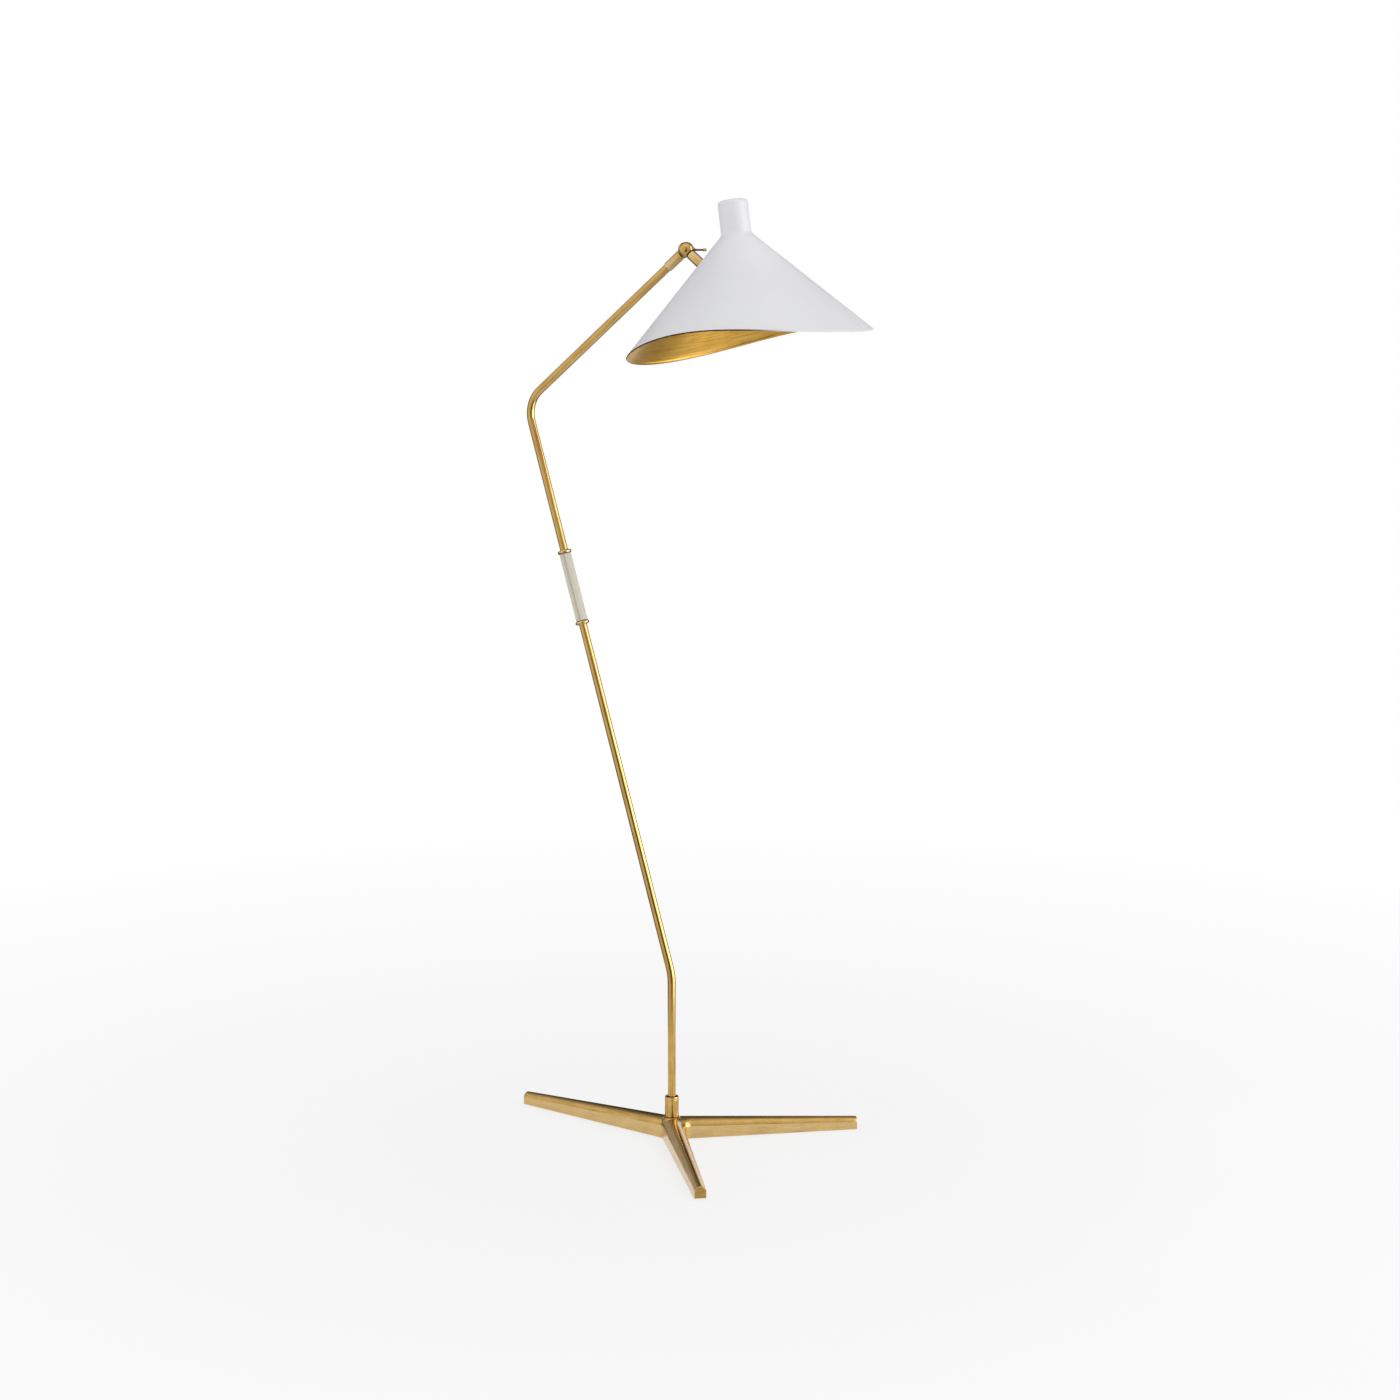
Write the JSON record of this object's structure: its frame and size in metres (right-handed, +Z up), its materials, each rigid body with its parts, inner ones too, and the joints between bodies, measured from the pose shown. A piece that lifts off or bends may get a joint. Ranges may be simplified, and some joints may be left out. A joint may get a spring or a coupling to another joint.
{
  "type": "tripod floor lamp",
  "caption": "Floor lamp: low cast tripod, bent brass pole with leather grip, and a wide conical shade that tilts on a ball knuckle.",
  "frame": {"origin": "on the floor, under the centre of the bounding box", "axes": "+Z up; the pole, arm and shade lie in the XZ plane, the head leans towards +X and the single rear leg points to -X"},
  "size_m": [0.6358, 0.4352, 1.4659],
  "materials": {
    "antique_brass": "hand-rubbed antique satin brass, fine lengthwise brush marks",
    "ivory_leather": "ivory leather wrap with one stitched seam, fine grain, satin",
    "white_enamel": "satin white enamel outside, brushed gold lacquer inside",
    "zinc_steel": "dull zinc plate",
    "black_rubber": "matt moulded rubber",
    "dark_phenolic": "moulded dark brown phenolic, satin",
    "brown_pvc": "extruded brown insulation",
    "opal_glass": "opal white glass, smooth",
    "thread_aluminium": "bare rolled screw shell",
    "contact_brass": "bare spring brass"
  },
  "bodies": {
    "stand": {"tripod_base": "antique_brass", "base_socket": "antique_brass", "lower_pole": "antique_brass", "upper_pole": "antique_brass", "lower_collar": "antique_brass", "upper_collar": "antique_brass", "arm_socket": "antique_brass", "swivel_ball": "antique_brass", "grip_leather": "ivory_leather", "grip_core": "zinc_steel", "hub_washer": "zinc_steel", "hub_nut": "zinc_steel", "stem_nipple": "zinc_steel", "pivot_pin": "zinc_steel", "foot_pad_rear": "black_rubber", "foot_pad_front_left": "black_rubber", "foot_pad_front_right": "black_rubber", "cord_bushing": "dark_phenolic", "pole_lead": "brown_pvc"},
    "lock_lever_body": {"lock_lever": "antique_brass", "lever_knob": "antique_brass"},
    "shade_head": {"swivel_tongue": "antique_brass", "friction_washer": "zinc_steel", "shade_connector": "antique_brass", "shade_shell": "white_enamel", "stud_washer": "zinc_steel", "stud_nut": "zinc_steel", "socket_bracket": "zinc_steel", "holder_nipple": "zinc_steel", "holder_nut": "zinc_steel", "lampholder_body": "dark_phenolic", "screw_shell": "thread_aluminium", "centre_contact": "contact_brass", "shade_lead": "brown_pvc", "bulb_cap": "thread_aluminium", "bulb_insulator": "dark_phenolic", "bulb_tip": "zinc_steel", "bulb_glass": "opal_glass"}
  },
  "joints": [
    {"name": "shade_tilt", "type": "hinge", "parent": "stand", "child": "shade_head", "pos_m": [0.00994, 0, 1.3902], "axis": [0, -1, 0], "range_deg": [-22, 75]},
    {"name": "lock_lever_turn", "type": "hinge", "parent": "stand", "child": "lock_lever_body", "pos_m": [0.00994, 0.0154, 1.3902], "axis": [0, -1, 0], "range_deg": [0, 90]}
  ]
}
